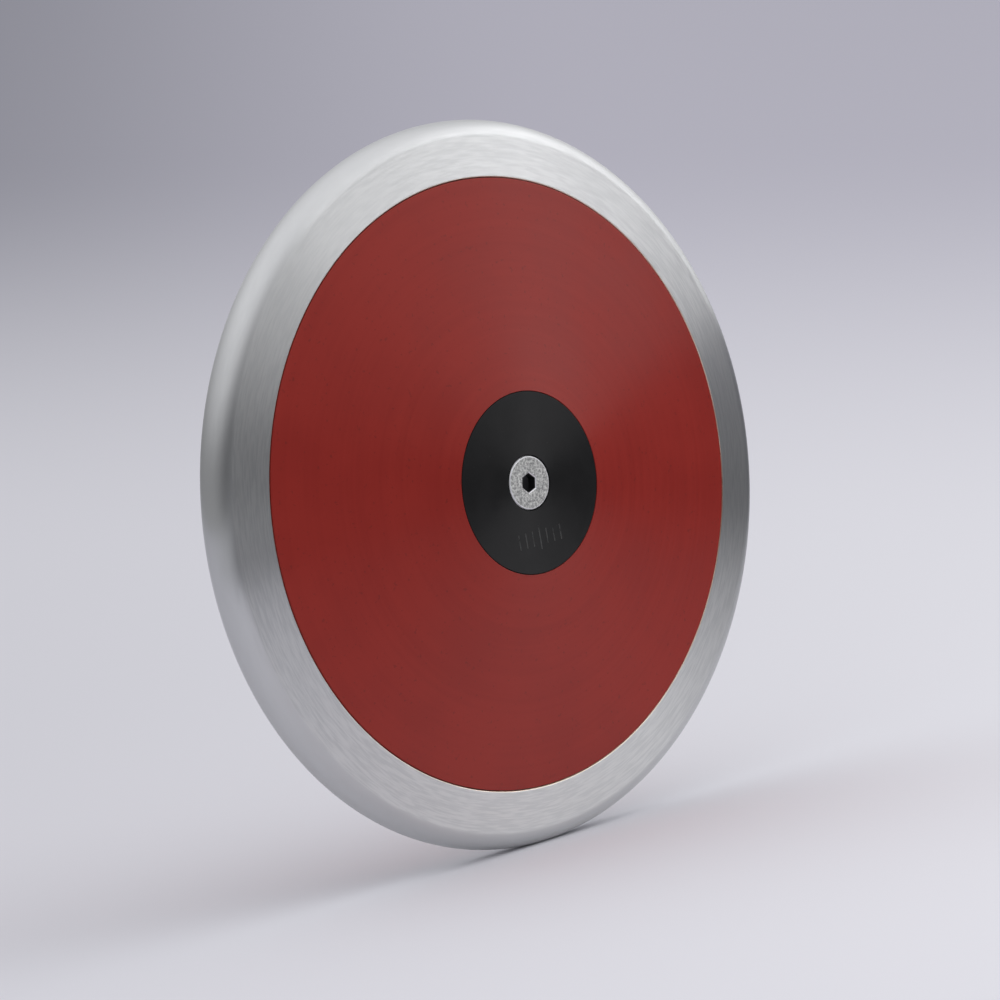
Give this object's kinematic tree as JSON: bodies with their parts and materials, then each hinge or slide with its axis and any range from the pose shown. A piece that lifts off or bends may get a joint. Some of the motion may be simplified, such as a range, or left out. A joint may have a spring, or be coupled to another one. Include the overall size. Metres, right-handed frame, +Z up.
{
  "type": "discus",
  "caption": "Throwing discus: a steel rim holds moulded conical sides with flat round centre plates and countersunk centre screws.",
  "frame": {"origin": "centre of the discus, half way between its two flat faces", "axes": "+Y is the spin axis and points out of the back face; the front faces -Y, and with +Z up the discus stands on its rim"},
  "size_m": [0.21, 0.042, 0.21],
  "materials": {
    "rim_steel": "satin",
    "red_plastic": "satin",
    "black_plastic": "satin",
    "zinc_steel": "satin",
    "plain_steel": "satin",
    "black_rubber": "matte"
  },
  "bodies": {
    "root": {"rim": "rim_steel", "core_sleeve": "plain_steel", "rubber_spacer": "black_rubber", "front_side_plate": "red_plastic", "front_seat_gasket": "black_rubber", "front_centre_plate": "black_plastic", "front_centre_screw": "zinc_steel", "front_ballast_disc": "plain_steel", "front_trim_washer_1": "plain_steel", "front_trim_washer_2": "plain_steel", "back_side_plate": "red_plastic", "back_seat_gasket": "black_rubber", "back_centre_plate": "black_plastic", "back_centre_screw": "zinc_steel", "back_ballast_disc": "plain_steel", "back_trim_washer_1": "plain_steel", "back_trim_washer_2": "plain_steel"}
  },
  "joints": []
}
